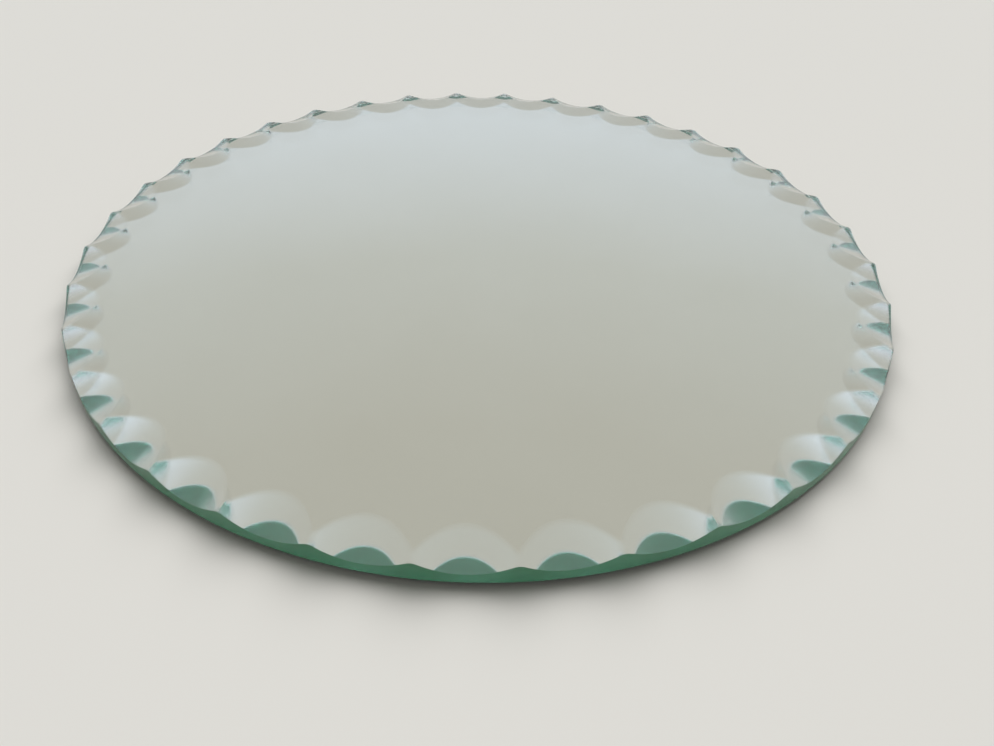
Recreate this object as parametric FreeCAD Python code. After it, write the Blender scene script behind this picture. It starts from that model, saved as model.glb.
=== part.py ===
"""Round table mirror: a thick disc of silvered glass with a scalloped rim, lying on four felt pads.

All sizes are in millimetres. Z points up, and the origin is on the table under the middle of the disc.
"""

import FreeCAD
import Part

import math
import os

from FreeCAD import Vector

# Glass disc
plate_diameter = 320.0
glass_thickness = 8.0
bottom_arris = 0.5

# Scalloped rim: each scallop is a hollow ground into the upper edge, sloping down to the rim.
# Across the slope it is an arc of a circle, and neighbours meet in a ridge that falls towards the rim.
scallop_count = 36
scallop_run = 12.0
scallop_wall_height = 3.8
hollow_radius = 33.0
grinding_overrun = 4.0

# Coatings on the back of the glass, in order from the glass down
silver_thickness = 0.05
copper_thickness = 0.05
paint_thickness = 0.1
coating_margin = 0.3

# Felt pads, and the adhesive discs that hold them to the paint
pad_count = 4
pad_diameter = 25.0
pad_thickness = 1.5
pad_inset = 40.0
adhesive_thickness = 0.2
adhesive_margin = 0.5

# Heights and radii that follow from the sizes above
full_turn = 360.0
pad_first_angle = full_turn / pad_count / 2
plate_radius = plate_diameter / 2
coating_radius = plate_radius - bottom_arris - coating_margin
pad_circle_radius = plate_radius - pad_inset
pad_top = pad_thickness
paint_bottom = pad_top + adhesive_thickness
copper_bottom = paint_bottom + paint_thickness
silver_bottom = copper_bottom + copper_thickness
glass_bottom = silver_bottom + silver_thickness
glass_top = glass_bottom + glass_thickness

middle = Vector(0, 0, 0)
up = Vector(0, 0, 1)


def disc(radius, thickness, bottom, x=0, y=0):
    """A flat round disc standing on the height given."""
    return Part.makeCylinder(radius, thickness, Vector(x, y, bottom))


def around(count, first_angle=0):
    """Evenly spaced angles in degrees for one full turn."""
    return [first_angle + full_turn * step / count for step in range(count)]


def scallop_cutter(angle):
    """A round bar: its lowest line runs from the top face, inside the rim, down to the wall."""
    scallop_drop = glass_thickness - scallop_wall_height
    slope = math.atan2(scallop_drop, scallop_run)
    downhill = Vector(math.cos(slope), 0, -math.sin(slope))
    away_from_glass = Vector(math.sin(slope), 0, math.cos(slope))
    inner_tip = Vector(plate_radius - scallop_run, 0, glass_top)
    heart = inner_tip - downhill * grinding_overrun + away_from_glass * hollow_radius
    length = math.hypot(scallop_run, scallop_drop) + grinding_overrun + grinding_overrun
    bar = Part.makeCylinder(hollow_radius, length, heart, downhill)
    bar.rotate(middle, up, angle)
    return bar


def make_mirror_glass():
    """The disc, with its lower edge seamed and the scallops ground round its upper edge."""
    plate = disc(plate_radius, glass_thickness, glass_bottom)
    lower_edges = [edge for edge in plate.Edges if edge.BoundBox.ZMax < glass_top and edge.isClosed()]
    plate = plate.makeChamfer(bottom_arris, lower_edges)
    cutters = [scallop_cutter(angle) for angle in around(scallop_count)]
    return plate.cut(cutters).removeSplitter()


def pad_place(angle):
    """Where the middle of a pad lies, as x and y."""
    turn = math.radians(angle)
    return pad_circle_radius * math.cos(turn), pad_circle_radius * math.sin(turn)


def make_pieces():
    """Every separate piece of the mirror, by name."""
    pieces = {
        "mirror_glass": make_mirror_glass(),
        "silver_coating": disc(coating_radius, silver_thickness, silver_bottom),
        "copper_coating": disc(coating_radius, copper_thickness, copper_bottom),
        "back_paint": disc(coating_radius, paint_thickness, paint_bottom),
    }
    pad_radius = pad_diameter / 2
    adhesive_radius = pad_radius - adhesive_margin
    for number, angle in enumerate(around(pad_count, pad_first_angle), start=1):
        x, y = pad_place(angle)
        pieces[f"felt_pad_{number}"] = disc(pad_radius, pad_thickness, 0, x, y)
        pieces[f"pad_adhesive_{number}"] = disc(adhesive_radius, adhesive_thickness, pad_top, x, y)
    return pieces


os.makedirs("parts", exist_ok=True)
for name, shape in make_pieces().items():
    solid = shape.Solids[0] if len(shape.Solids) == 1 else shape
    solid.exportStep(f"parts/{name}.step")
    state = "valid" if solid.isValid() else "invalid"
    print(name, state, len(shape.Solids), "solid", round(solid.Volume, 2), "mm3")
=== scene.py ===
"""Round table mirror: thick silvered glass with a scalloped, hollow-ground rim, lying on four felt pads.

Laid out as an add-on. Every size is in metres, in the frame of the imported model.
"""

import math

import bmesh
import bpy
from bpy.props import FloatProperty, FloatVectorProperty, IntProperty, PointerProperty
from mathutils import Matrix, Quaternion, Vector, noise


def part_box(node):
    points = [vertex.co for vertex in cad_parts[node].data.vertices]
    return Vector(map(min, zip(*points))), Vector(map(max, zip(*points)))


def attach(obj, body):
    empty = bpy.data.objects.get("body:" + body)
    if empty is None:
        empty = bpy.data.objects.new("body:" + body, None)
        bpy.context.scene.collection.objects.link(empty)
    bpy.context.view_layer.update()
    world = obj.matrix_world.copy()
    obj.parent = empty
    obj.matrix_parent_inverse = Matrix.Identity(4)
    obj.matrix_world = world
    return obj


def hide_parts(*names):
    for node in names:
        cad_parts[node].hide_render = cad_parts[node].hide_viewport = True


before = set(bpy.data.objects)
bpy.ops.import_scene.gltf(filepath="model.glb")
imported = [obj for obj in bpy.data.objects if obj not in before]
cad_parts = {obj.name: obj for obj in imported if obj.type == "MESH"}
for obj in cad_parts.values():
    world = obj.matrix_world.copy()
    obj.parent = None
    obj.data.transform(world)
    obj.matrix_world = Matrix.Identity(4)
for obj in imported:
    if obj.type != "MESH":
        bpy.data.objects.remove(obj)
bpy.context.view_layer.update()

bl_info = {
    "name": "Scalloped table mirror",
    "version": (1, 0, 0),
    "blender": (4, 5, 0),
    "location": "View3D > Sidebar > Mirror",
    "description": "Builds a round table mirror of thick silvered glass with a scalloped rim",
    "category": "Add Mesh",
}

MM = 0.001
UP = Vector((0, 0, 1))
BODY = "root"
PAD_NODES = sorted(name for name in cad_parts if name.startswith("felt_pad_"))
ADHESIVE_NODES = sorted(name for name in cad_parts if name.startswith("pad_adhesive_"))
GLASS_LOW, GLASS_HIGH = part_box("mirror_glass")

# How finely the glass is meshed, and how closely its cuts and joints are held
CUT_TOLERANCE = 1e-7
WELD_DISTANCE = 2e-6
CUT_OVERRUN = 4 * MM
HOLLOW_ARC = math.radians(60)
HOLLOW_STEPS = 56
BORDER_ROWS = 6
RIDGE_ROWS = 5
RIM_STEPS_PER_SCALLOP = 24

# The finishes of the glass, told apart by how far a face tilts from level
FLAT, HOLLOW, WALL = range(3)
LEVEL_TILT = math.radians(0.5)
WALL_TILT = math.radians(80)
SHARP_ANGLE = math.radians(25)

PAD_SIDES = 96
PAD_EDGE_STEPS = 3

GLASS_IOR = 1.52
# Density of the glass over its largest loss, so that no channel of its colour is black
ABSORPTION_HEADROOM = 1.25
# Where nearly all values of a noise pattern lie
NOISE_SPAN = {"From Min": 0.3, "From Max": 0.7}

# Tones of the room by their height over the horizon in degrees
ROOM_TONES = ((0, "#E8EFF8"), (18, "#DFE7F0"), (33, "#C3C5C0"), (45, "#BAB9B0"), (90, "#B3B1A6"))
# Light trapped in the plate turns many times before it leaves at the rim
LIGHT_BOUNCES = 64

CAMERA_PLACE = Vector((2.23, -287.37, 185.54)) * MM
CAMERA_AIM = Vector((-5.15, -22.99, 1.9)) * MM
CAMERA_ROLL = math.radians(0.37)
CAMERA_SENSOR = 36
CAMERA_LENS = 29.23
CAMERA_SHIFT = (0.0354, -0.0913)
CAMERA_NEAR_LIMIT = 10 * MM


def linear(hex_colour):
    """An sRGB hex colour as linear red, green, blue and alpha."""
    channels = [int(hex_colour[at:at + 2], 16) / 255 for at in (1, 3, 5)]
    return tuple(c / 12.92 if c <= 0.04045 else ((c + 0.055) / 1.055) ** 2.4 for c in channels) + (1.0,)


class GlassSettings(bpy.types.PropertyGroup):
    """Sizes and tint of the glass disc."""

    scallop_count: IntProperty(
        name="Scallops", description="Scallops round the rim", default=36, min=3)
    scallop_run: FloatProperty(
        name="Cut length", description="How far each cut reaches in from the rim on the top face",
        default=12.0 * MM, unit="LENGTH", precision=4)
    scallop_wall: FloatProperty(
        name="Wall height", description="Height of the wall left under the middle of each cut",
        default=3.8 * MM, unit="LENGTH", precision=4)
    hollow_radius: FloatProperty(
        name="Hollow radius", description="Radius of the arc that each hollow shows across its slope",
        default=33.0 * MM, unit="LENGTH", precision=4)
    border_roll: FloatProperty(
        name="Border roll",
        description="Height over which polishing rolls each hollow's border into the top face",
        default=0.35 * MM, unit="LENGTH", precision=5)
    ridge_round: FloatProperty(
        name="Ridge rounding",
        description="How far polishing rounds a ridge, to either side of its line",
        default=1.5 * MM, unit="LENGTH", precision=5)
    bottom_arris: FloatProperty(
        name="Lower arris", description="Width of the seamed lower edge",
        default=0.5 * MM, unit="LENGTH", precision=5)
    silver_gap: FloatProperty(
        name="Gap over the silver",
        description="Keeps the glass face from lying in the very plane of the silver",
        default=0.02 * MM, unit="LENGTH", precision=6)
    absorbed: FloatVectorProperty(
        name="Absorption", description="Light lost per metre of glass, in red, green and blue",
        default=(1.5, 0.1, 0.31), size=3)


class PadSettings(bpy.types.PropertyGroup):
    """Wear of the felt pads' edges."""

    edge_round: FloatProperty(
        name="Edge rounding", description="How far the edges of a pad are rounded",
        default=0.3 * MM, unit="LENGTH", precision=5)
    fray: FloatProperty(
        name="Fray", description="How far the side of a pad is drawn in on average",
        default=0.12 * MM, unit="LENGTH", precision=5)
    tuft: FloatProperty(
        name="Tuft", description="Size of the tufts of fibre that make the side uneven",
        default=0.9 * MM, unit="LENGTH", precision=5)


class StageSettings(bpy.types.PropertyGroup):
    """Floor and light."""

    floor_colour: FloatVectorProperty(
        name="Floor", description="Colour of the pale floor", subtype="COLOR", size=4, min=0, max=1,
        default=linear("#E2E0DB"))
    floor_half: FloatProperty(
        name="Floor half width", description="Half the width of the floor",
        default=20.0, unit="LENGTH")
    fill: FloatProperty(
        name="Fill", description="Share of the room's brightness that lights the floor",
        default=0.3, min=0, max=1)
    key_strength: FloatProperty(
        name="Key light", description="Strength of the broad light from behind the mirror",
        default=3.2, min=0)
    key_elevation: FloatProperty(
        name="Key height", description="How high the broad light stands over the table",
        default=math.radians(52), subtype="ANGLE")
    key_bearing: FloatProperty(
        name="Key bearing", description="How far the broad light stands round from straight behind",
        default=math.radians(-9), subtype="ANGLE")
    key_softness: FloatProperty(
        name="Key softness", description="How wide the broad light looks from the table",
        default=math.radians(75), subtype="ANGLE")


def add_node(tree, kind, settings=None, inputs=None):
    """Adds a node, sets its properties and values, and links any socket given as a value."""
    made = tree.nodes.new(kind)
    for key, value in (settings or {}).items():
        setattr(made, key, value)
    for key, value in (inputs or {}).items():
        if isinstance(value, bpy.types.NodeSocket):
            tree.links.new(value, made.inputs[key])
        else:
            made.inputs[key].default_value = value
    return made


def new_material(name):
    """An empty material and its node tree."""
    material = bpy.data.materials.new(name)
    material.use_nodes = True
    material.node_tree.nodes.clear()
    return material, material.node_tree


def finish_material(tree, surface, volume=None):
    """Adds the output and links the shaders to it."""
    sockets = {"Surface": surface.outputs[0]}
    if volume:
        sockets["Volume"] = volume.outputs[0]
    add_node(tree, "ShaderNodeOutputMaterial", inputs=sockets)


def absorption(tree, lost_per_metre):
    """The green body colour of ordinary glass, which only shows over a long path."""
    density = max(lost_per_metre) * ABSORPTION_HEADROOM
    colour = tuple(1 - lost / density for lost in lost_per_metre) + (1.0,)
    return add_node(tree, "ShaderNodeVolumeAbsorption", inputs={"Color": colour, "Density": density})


def soda_lime_glass(name, lost_per_metre, finish):
    """Clear soda-lime glass whose surface was made in one of the ways below."""
    material, tree = new_material(name)
    place = add_node(tree, "ShaderNodeTexCoord").outputs["Object"]
    surface = {"Base Color": (1, 1, 1, 1), "IOR": GLASS_IOR, "Transmission Weight": 1.0}
    surface.update(finish(tree, place))
    shader = add_node(tree, "ShaderNodeBsdfPrincipled", inputs=surface)
    finish_material(tree, shader, absorption(tree, lost_per_metre))
    return material


def float_polish(tree, place):
    """Fire-polished float glass: sharp, with the faint smears that a wiping cloth leaves."""
    stretched = add_node(tree, "ShaderNodeMapping", inputs={
        "Vector": place, "Rotation": (0, 0, math.radians(25)), "Scale": (1, 0.25, 1)})
    smear = add_node(tree, "ShaderNodeTexNoise", inputs={
        "Vector": stretched.outputs["Vector"], "Scale": 1 / (18 * MM), "Detail": 5.0, "Roughness": 0.6})
    roughness = add_node(tree, "ShaderNodeMapRange", inputs={
        "Value": smear.outputs["Fac"], "From Min": 0.45, "From Max": 0.8, "To Min": 0.0, "To Max": 0.02})
    return {"Roughness": roughness.outputs["Result"]}


def wheel_polish(tree, place):
    """Hollows polished on a felt wheel: nearly clear, with a slight bloom and faint marks downhill."""
    turn = add_node(tree, "ShaderNodeTexGradient", {"gradient_type": "RADIAL"}, {"Vector": place})
    # Real marks are finer than 0.1 mm, and are drawn 0.6 mm apart so that they show
    along_rim = add_node(tree, "ShaderNodeMath", {"operation": "MULTIPLY"}, {
        0: turn.outputs["Fac"], 1: 2 * math.pi * GLASS_HIGH.x / (0.6 * MM)})
    marks = add_node(tree, "ShaderNodeTexNoise", {"noise_dimensions": "1D"}, {
        "W": along_rim.outputs["Value"], "Scale": 1.0, "Detail": 2.0})
    roughness = add_node(tree, "ShaderNodeMapRange", inputs={
        "Value": marks.outputs["Fac"], **NOISE_SPAN, "To Min": 0.16, "To Max": 0.18})
    bump = add_node(tree, "ShaderNodeBump", inputs={
        "Strength": 0.08, "Distance": 0.01 * MM, "Height": marks.outputs["Fac"]})
    return {"Transmission Weight": 0.94, "Roughness": roughness.outputs["Result"],
            "Normal": bump.outputs["Normal"]}


def smooth_grind_and_painted_shade(tree, place):
    """The rim wall, smoothed on fine stones: satin and low in gloss, with faint lines. Its deep green is
    partly the glass's own edge colour and partly painted shade, darker than the clear glass would look,
    standing in for the shade and dark surroundings that the wall shows.
    """
    # Real lines are finer than 0.1 mm, and are drawn 0.3 mm apart so that they show
    lines_round = add_node(tree, "ShaderNodeMapping", inputs={
        "Vector": place, "Scale": (1 / (8 * MM), 1 / (8 * MM), 1 / (0.3 * MM))})
    lines = add_node(tree, "ShaderNodeTexNoise", inputs={
        "Vector": lines_round.outputs["Vector"], "Scale": 1.0, "Detail": 3.0})
    # Painted shade: these greens are darker than the glass's own edge colour, to stand in for the shade
    # that the wall shows
    colour = add_node(tree, "ShaderNodeMix", {"data_type": "RGBA"}, {
        "Factor": lines.outputs["Fac"], "A": linear("#497E59"), "B": linear("#548965")})
    roughness = add_node(tree, "ShaderNodeMapRange", inputs={
        "Value": lines.outputs["Fac"], **NOISE_SPAN, "To Min": 0.15, "To Max": 0.22})
    bump = add_node(tree, "ShaderNodeBump", inputs={
        "Strength": 0.2, "Distance": 0.01 * MM, "Height": lines.outputs["Fac"]})
    return {"Base Color": colour.outputs["Result"], "Transmission Weight": 0.9,
            "Specular IOR Level": 0.1, "Roughness": roughness.outputs["Result"],
            "Normal": bump.outputs["Normal"]}


def mirror_silver():
    """Wet-laid silver under glass: a bright metal film with a trace of cloud from the pouring."""
    material, tree = new_material("mirror_silver")
    place = add_node(tree, "ShaderNodeTexCoord")
    cloud = add_node(tree, "ShaderNodeTexNoise", inputs={
        "Vector": place.outputs["Object"], "Scale": 1 / (55 * MM), "Detail": 4.0})
    colour = add_node(tree, "ShaderNodeMix", {"data_type": "RGBA"}, {
        "Factor": cloud.outputs["Fac"], "A": linear("#F4F2ED"), "B": linear("#FAF9F6")})
    roughness = add_node(tree, "ShaderNodeMapRange", inputs={
        "Value": cloud.outputs["Fac"], **NOISE_SPAN, "To Min": 0.0, "To Max": 0.01})
    shader = add_node(tree, "ShaderNodeBsdfPrincipled", inputs={
        "Base Color": colour.outputs["Result"], "Metallic": 1.0,
        "Roughness": roughness.outputs["Result"]})
    finish_material(tree, shader)
    return material


def copper_film():
    """Chemically laid copper: a dull, slightly mottled metal skin."""
    material, tree = new_material("copper_film")
    place = add_node(tree, "ShaderNodeTexCoord")
    mottle = add_node(tree, "ShaderNodeTexNoise", inputs={
        "Vector": place.outputs["Object"], "Scale": 1 / (9 * MM), "Detail": 4.0})
    colour = add_node(tree, "ShaderNodeMix", {"data_type": "RGBA"}, {
        "Factor": mottle.outputs["Fac"], "A": linear("#A8613F"), "B": linear("#C98560")})
    shader = add_node(tree, "ShaderNodeBsdfPrincipled", inputs={
        "Base Color": colour.outputs["Result"], "Metallic": 1.0, "Roughness": 0.38})
    finish_material(tree, shader)
    return material


def backing_paint():
    """Curtain-coated mirror backing paint: matt grey with a fine orange-peel skin."""
    material, tree = new_material("mirror_backing_paint")
    place = add_node(tree, "ShaderNodeTexCoord")
    cloud = add_node(tree, "ShaderNodeTexNoise", inputs={
        "Vector": place.outputs["Object"], "Scale": 1 / (30 * MM), "Detail": 3.0})
    colour = add_node(tree, "ShaderNodeMix", {"data_type": "RGBA"}, {
        "Factor": cloud.outputs["Fac"], "A": linear("#55504A"), "B": linear("#676058")})
    peel = add_node(tree, "ShaderNodeTexNoise", inputs={
        "Vector": place.outputs["Object"], "Scale": 1 / (1.2 * MM), "Detail": 2.0})
    bump = add_node(tree, "ShaderNodeBump", inputs={
        "Strength": 0.3, "Distance": 0.03 * MM, "Height": peel.outputs["Fac"]})
    shader = add_node(tree, "ShaderNodeBsdfPrincipled", inputs={
        "Base Color": colour.outputs["Result"], "Roughness": 0.62, "Normal": bump.outputs["Normal"]})
    finish_material(tree, shader)
    return material


def pressed_felt():
    """Pressed wool felt: matted fibres, no gloss, a little lighter where fibres stand up."""
    material, tree = new_material("pressed_wool_felt")
    place = add_node(tree, "ShaderNodeTexCoord")
    fibres = add_node(tree, "ShaderNodeTexNoise", inputs={
        "Vector": place.outputs["Object"], "Scale": 1 / (0.6 * MM), "Detail": 6.0, "Distortion": 1.5})
    colour = add_node(tree, "ShaderNodeMix", {"data_type": "RGBA"}, {
        "Factor": fibres.outputs["Fac"], "A": linear("#1F1C1A"), "B": linear("#4A4540")})
    bump = add_node(tree, "ShaderNodeBump", inputs={
        "Strength": 0.8, "Distance": 0.15 * MM, "Height": fibres.outputs["Fac"]})
    shader = add_node(tree, "ShaderNodeBsdfPrincipled", inputs={
        "Base Color": colour.outputs["Result"], "Roughness": 0.95, "Normal": bump.outputs["Normal"],
        "Sheen Weight": 0.4, "Sheen Roughness": 0.5})
    finish_material(tree, shader)
    return material


def acrylic_adhesive():
    """Acrylic transfer adhesive: a milky, slightly cloudy film."""
    material, tree = new_material("acrylic_adhesive")
    place = add_node(tree, "ShaderNodeTexCoord")
    cloud = add_node(tree, "ShaderNodeTexNoise", inputs={
        "Vector": place.outputs["Object"], "Scale": 1 / (4 * MM), "Detail": 3.0})
    colour = add_node(tree, "ShaderNodeMix", {"data_type": "RGBA"}, {
        "Factor": cloud.outputs["Fac"], "A": linear("#D8D2BE"), "B": linear("#E6E1D0")})
    shader = add_node(tree, "ShaderNodeBsdfPrincipled", inputs={
        "Base Color": colour.outputs["Result"], "Roughness": 0.45})
    finish_material(tree, shader)
    return material


def studio_floor(colour):
    """Plain pale matt floor."""
    material, tree = new_material("studio_floor")
    shader = add_node(tree, "ShaderNodeBsdfPrincipled", inputs={"Base Color": colour, "Roughness": 0.6})
    finish_material(tree, shader)
    return material


def add_object(name, bm, materials):
    """Turns a bmesh into an object at the origin."""
    mesh = bpy.data.meshes.new(name)
    bm.to_mesh(mesh)
    bm.free()
    for material in materials:
        mesh.materials.append(material)
    made = bpy.data.objects.new(name, mesh)
    bpy.context.scene.collection.objects.link(made)
    return made


def dress(node, material):
    """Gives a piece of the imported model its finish."""
    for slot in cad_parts[node].material_slots:
        slot.material = material


def verts_among(items):
    """The vertices among the results of a mesh operation."""
    return [item for item in items if isinstance(item, bmesh.types.BMVert)]


def cut(bm, point, outward, clear_outer):
    """Cuts the mesh along a plane, and can clear everything on its outer side."""
    geom = bm.verts[:] + bm.edges[:] + bm.faces[:]
    bmesh.ops.bisect_plane(
        bm, geom=geom, dist=CUT_TOLERANCE, plane_co=point, plane_no=outward, clear_outer=clear_outer)


def hollow_strip(settings, radius, top, bottom):
    """One scallop's hollow: an arc swept downhill, trimmed to the top face, its sector and the rim."""
    drop = top - bottom - settings.scallop_wall
    slope = math.atan2(drop, settings.scallop_run)
    heart = Vector((-CUT_OVERRUN, 0, settings.hollow_radius))
    half_arc = HOLLOW_ARC / 2
    to_side = Vector((0, -math.sin(half_arc), -math.cos(half_arc))) * settings.hollow_radius
    bm = bmesh.new()
    start = bmesh.ops.create_vert(bm, co=heart + to_side)["vert"]
    bmesh.ops.spin(bm, geom=start, cent=heart, axis=(1, 0, 0), angle=HOLLOW_ARC, steps=HOLLOW_STEPS)
    swept = bmesh.ops.extrude_edge_only(bm, edges=bm.edges[:])["geom"]
    length = math.hypot(settings.scallop_run, drop) + 2 * CUT_OVERRUN
    bmesh.ops.translate(bm, verts=verts_among(swept), vec=(length, 0, 0))
    bmesh.ops.rotate(bm, verts=bm.verts[:], cent=(0, 0, 0), matrix=Matrix.Rotation(slope, 3, "Y"))
    bmesh.ops.translate(bm, verts=bm.verts[:], vec=(radius - settings.scallop_run, 0, top))
    roll_border(bm, top, settings.border_roll)
    half_pitch = math.pi / settings.scallop_count
    crest = math.asin(radius * math.sin(half_pitch) / settings.hollow_radius)
    for side in (-1, 1):
        sideways = Vector((-math.sin(half_pitch), side * math.cos(half_pitch), 0))
        round_ridge(bm, top, sideways, math.tan(crest) / math.cos(slope), settings)
    step = 2 * half_pitch / RIM_STEPS_PER_SCALLOP
    for index in range(RIM_STEPS_PER_SCALLOP):
        turn = -half_pitch + (index + 0.5) * step
        outward = Vector((math.cos(turn), math.sin(turn), 0))
        cut(bm, outward * radius * math.cos(step / 2), outward, clear_outer=True)
    return bm


def roll_border(bm, top, roll):
    """Trims the hollow at the top face, with a border that curves over from one to the other."""
    for row in range(BORDER_ROWS + 1):
        level = UP * (top + roll * (1 - 2 * (row / BORDER_ROWS) ** 2))
        cut(bm, level, UP, clear_outer=row == 0)
    for vert in bm.verts:
        rise = (vert.co.z - top) / roll
        if rise > -1:
            vert.co.z = top - roll * (1 - rise) ** 2 / 4


def round_ridge(bm, top, sideways, steepness, settings):
    """Trims the hollow half way to its neighbour, and rounds the ridge that the two make there."""
    reach = settings.ridge_round
    for row in range(RIDGE_ROWS + 1):
        cut(bm, sideways * -reach * row / RIDGE_ROWS, sideways, clear_outer=row == 0)
    for vert in bm.verts:
        nearness = 1 + vert.co.dot(sideways) / reach
        if nearness > 0:
            below_border = min(1, math.sqrt(max(0, top - vert.co.z) / settings.border_roll))
            vert.co.z -= steepness * reach / 2 * nearness ** 2 * below_border


def extrude_open_edges(bm):
    """Extrudes the open rim and returns the new vertices."""
    open_edges = [edge for edge in bm.edges if edge.is_boundary]
    return verts_among(bmesh.ops.extrude_edge_only(bm, edges=open_edges)["geom"])


def flatten(bm, verts, height, spread=1.0):
    """Brings vertices to one height, and draws them in or out from the middle."""
    level = Matrix.Translation((0, 0, -height))
    bmesh.ops.scale(bm, verts=verts, vec=(spread, spread, 0), space=level)


def finish_of(face):
    """Which finish a face of the glass has, by how far it tilts from level."""
    tilt = face.normal.angle(UP)
    if min(tilt, math.pi - tilt) < LEVEL_TILT:
        return FLAT
    return HOLLOW if tilt < WALL_TILT else WALL


def glass_disc(settings):
    """The whole disc: scallops all round, the flat top, the wall, the lower arris and the flat back."""
    radius, top, bottom = GLASS_HIGH.x, GLASS_HIGH.z, GLASS_LOW.z
    bm = hollow_strip(settings, radius, top, bottom)
    copies = settings.scallop_count - 1
    geom = bm.verts[:] + bm.edges[:] + bm.faces[:]
    bmesh.ops.spin(bm, geom=geom, cent=(0, 0, 0), axis=UP, steps=copies, use_duplicate=True,
                   angle=2 * math.pi * copies / settings.scallop_count)
    bmesh.ops.remove_doubles(bm, verts=bm.verts[:], dist=WELD_DISTANCE)
    top_edges = [edge for edge in bm.edges if edge.is_boundary
                 and all(abs(vert.co.z - top) < CUT_TOLERANCE for vert in edge.verts)]
    bmesh.ops.edgeloop_fill(bm, edges=top_edges)
    flatten(bm, extrude_open_edges(bm), bottom + settings.bottom_arris)
    spread = (radius - settings.bottom_arris) / radius
    flatten(bm, extrude_open_edges(bm), bottom + settings.silver_gap, spread)
    bmesh.ops.edgeloop_fill(bm, edges=[edge for edge in bm.edges if edge.is_boundary])
    bmesh.ops.recalc_face_normals(bm, faces=bm.faces[:])
    for face in bm.faces:
        face.material_index = finish_of(face)
        face.smooth = face.material_index != FLAT
    for edge in bm.edges:
        edge.smooth = edge.calc_face_angle(0) < SHARP_ANGLE
    return bm


def felt_disc(low, high, settings):
    """A round pad with soft edges, its side drawn in unevenly where fibres are missing."""
    centre = (low + high) / 2
    radius = (high.x - low.x) / 2
    bm = bmesh.new()
    bmesh.ops.create_cone(bm, cap_ends=True, segments=PAD_SIDES, radius1=radius, radius2=radius,
                          depth=high.z - low.z)
    rims = [edge for edge in bm.edges if edge.calc_face_angle(0) > SHARP_ANGLE]
    bmesh.ops.bevel(bm, geom=rims, offset=settings.edge_round, affect="EDGES",
                    segments=PAD_EDGE_STEPS, profile=0.5, material=-1)
    bmesh.ops.translate(bm, verts=bm.verts[:], vec=centre)
    for vert in bm.verts:
        outward = (vert.co - centre).xy.to_3d().normalized()
        vert.co -= outward * settings.fray * (1 + noise.noise(vert.co / settings.tuft))
    for face in bm.faces:
        face.smooth = True
    return bm


class MIRROR_OT_glass(bpy.types.Operator):
    """Model the scalloped glass disc"""

    bl_idname = "mirror.glass"
    bl_label = "Glass disc"

    def execute(self, context):
        settings = context.scene.mirror_glass
        lost = tuple(settings.absorbed)
        finishes = [
            soda_lime_glass("float_glass", lost, float_polish),
            soda_lime_glass("wheel_polished_glass", lost, wheel_polish),
            soda_lime_glass("smooth_ground_glass_and_painted_shade", lost, smooth_grind_and_painted_shade),
        ]
        piece = add_object("scalloped_glass_disc", glass_disc(settings), finishes)
        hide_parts("mirror_glass")
        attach(piece, BODY)
        return {"FINISHED"}


class MIRROR_OT_coatings(bpy.types.Operator):
    """Finish the silver, copper and paint on the back of the glass"""

    bl_idname = "mirror.coatings"
    bl_label = "Back coatings"

    def execute(self, context):
        dress("silver_coating", mirror_silver())
        dress("copper_coating", copper_film())
        dress("back_paint", backing_paint())
        return {"FINISHED"}


class MIRROR_OT_pads(bpy.types.Operator):
    """Model the felt pads and finish their adhesive"""

    bl_idname = "mirror.pads"
    bl_label = "Felt pads"

    def execute(self, context):
        felt = pressed_felt()
        for node in PAD_NODES:
            bm = felt_disc(*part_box(node), context.scene.mirror_pads)
            piece = add_object(node.replace("felt_pad", "felt_disc"), bm, [felt])
            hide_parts(node)
            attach(piece, BODY)
        adhesive = acrylic_adhesive()
        for node in ADHESIVE_NODES:
            dress(node, adhesive)
        return {"FINISHED"}


def studio_world(fill):
    """A plain room, pale and cool near the horizon and greyer overhead.

    It shows at full strength, and lights the floor by its fill.
    """
    world = bpy.data.worlds.new("plain_room")
    bpy.context.scene.world = world
    world.use_nodes = True
    tree = world.node_tree
    tree.nodes.clear()
    place = add_node(tree, "ShaderNodeTexCoord")
    split = add_node(tree, "ShaderNodeSeparateXYZ", inputs={"Vector": place.outputs["Generated"]})
    ramp = add_node(tree, "ShaderNodeValToRGB", inputs={"Fac": split.outputs["Z"]})
    elements = ramp.color_ramp.elements
    for elevation, _ in ROOM_TONES[1:-1]:
        elements.new(math.sin(math.radians(elevation)))
    for element, (_, colour) in zip(elements, ROOM_TONES):
        element.color = linear(colour)
    path = add_node(tree, "ShaderNodeLightPath")
    through_glass = add_node(tree, "ShaderNodeMath", {"operation": "MAXIMUM"}, {
        0: path.outputs["Is Glossy Ray"], 1: path.outputs["Is Transmission Ray"]})
    seen = add_node(tree, "ShaderNodeMath", {"operation": "MAXIMUM"}, {
        0: through_glass.outputs["Value"], 1: path.outputs["Is Camera Ray"]})
    strength = add_node(tree, "ShaderNodeMapRange", inputs={
        "Value": seen.outputs["Value"], "To Min": fill, "To Max": 1.0})
    light = add_node(tree, "ShaderNodeBackground", inputs={
        "Color": ramp.outputs["Color"], "Strength": strength.outputs["Result"]})
    add_node(tree, "ShaderNodeOutputWorld", inputs={"Surface": light.outputs["Background"]})


def soft_key(settings):
    """A broad, even light from behind the mirror, which the mirror itself doesn't show."""
    data = bpy.data.lights.new("soft_key", "SUN")
    data.energy = settings.key_strength
    data.angle = settings.key_softness
    # Without this, a lamp that reflections leave out still leaves a dark patch in the softer glass
    data.cycles.use_multiple_importance_sampling = False
    lamp = bpy.data.objects.new("soft_key", data)
    bpy.context.scene.collection.objects.link(lamp)
    lamp.rotation_euler = (settings.key_elevation - math.pi / 2, 0, settings.key_bearing)
    lamp.visible_glossy = False
    lamp.visible_transmission = False


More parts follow.
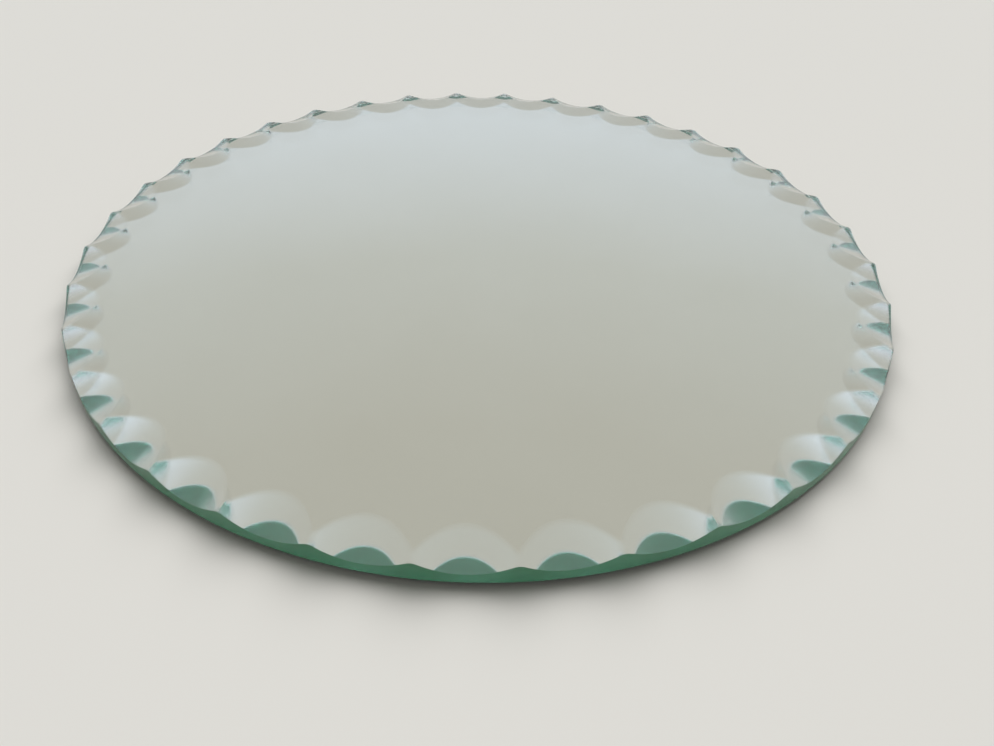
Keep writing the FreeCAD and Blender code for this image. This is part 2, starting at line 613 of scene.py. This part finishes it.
def add_camera():
    """The camera where the photograph was taken, with the photograph's off-centre framing."""
    data = bpy.data.cameras.new("photo_camera")
    data.sensor_width = CAMERA_SENSOR
    data.lens = CAMERA_LENS
    data.shift_x, data.shift_y = CAMERA_SHIFT
    data.clip_start = CAMERA_NEAR_LIMIT
    camera = bpy.data.objects.new("photo_camera", data)
    bpy.context.scene.collection.objects.link(camera)
    look = (CAMERA_AIM - CAMERA_PLACE).to_track_quat("-Z", "Y") @ Quaternion(UP, CAMERA_ROLL)
    camera.matrix_world = Matrix.LocRotScale(CAMERA_PLACE, look, None)
    bpy.context.scene.camera = camera


class MIRROR_OT_stage(bpy.types.Operator):
    """Lay the floor and set up the light and the camera"""

    bl_idname = "mirror.stage"
    bl_label = "Stage"

    def execute(self, context):
        scene = context.scene
        settings = scene.mirror_stage
        bm = bmesh.new()
        bmesh.ops.create_grid(bm, x_segments=1, y_segments=1, size=settings.floor_half)
        floor = add_object("studio_floor", bm, [studio_floor(tuple(settings.floor_colour))])
        studio_world(settings.fill)
        soft_key(settings)
        add_camera()
        scene.view_settings.view_transform = "Standard"
        scene.cycles.max_bounces = LIGHT_BOUNCES
        scene.cycles.glossy_bounces = LIGHT_BOUNCES
        scene.cycles.transmission_bounces = LIGHT_BOUNCES
        return {"FINISHED"}


class MIRROR_PT_panel(bpy.types.Panel):
    """Pieces of the mirror and its stage"""

    bl_idname = "MIRROR_PT_panel"
    bl_label = "Table mirror"
    bl_space_type = "VIEW_3D"
    bl_region_type = "UI"
    bl_category = "Mirror"

    def draw(self, context):
        scene = context.scene
        for operator in OPERATORS:
            self.layout.operator(operator.bl_idname)
        for settings in (scene.mirror_glass, scene.mirror_pads, scene.mirror_stage):
            for key in settings.bl_rna.properties.keys():
                if key not in ("rna_type", "name"):
                    self.layout.prop(settings, key)


OPERATORS = (MIRROR_OT_glass, MIRROR_OT_coatings, MIRROR_OT_pads, MIRROR_OT_stage)
CLASSES = (GlassSettings, PadSettings, StageSettings) + OPERATORS + (MIRROR_PT_panel,)


def register():
    """Registers the classes and gives the scene its settings."""
    for item in CLASSES:
        bpy.utils.register_class(item)
    bpy.types.Scene.mirror_glass = PointerProperty(type=GlassSettings)
    bpy.types.Scene.mirror_pads = PointerProperty(type=PadSettings)
    bpy.types.Scene.mirror_stage = PointerProperty(type=StageSettings)


def unregister():
    """Takes away all that register added."""
    del bpy.types.Scene.mirror_stage
    del bpy.types.Scene.mirror_pads
    del bpy.types.Scene.mirror_glass
    for item in reversed(CLASSES):
        bpy.utils.unregister_class(item)


def main():
    """Builds the mirror and its stage."""
    register()
    bpy.ops.mirror.glass()
    bpy.ops.mirror.coatings()
    bpy.ops.mirror.pads()
    bpy.ops.mirror.stage()


if __name__ == "__main__":
    main()
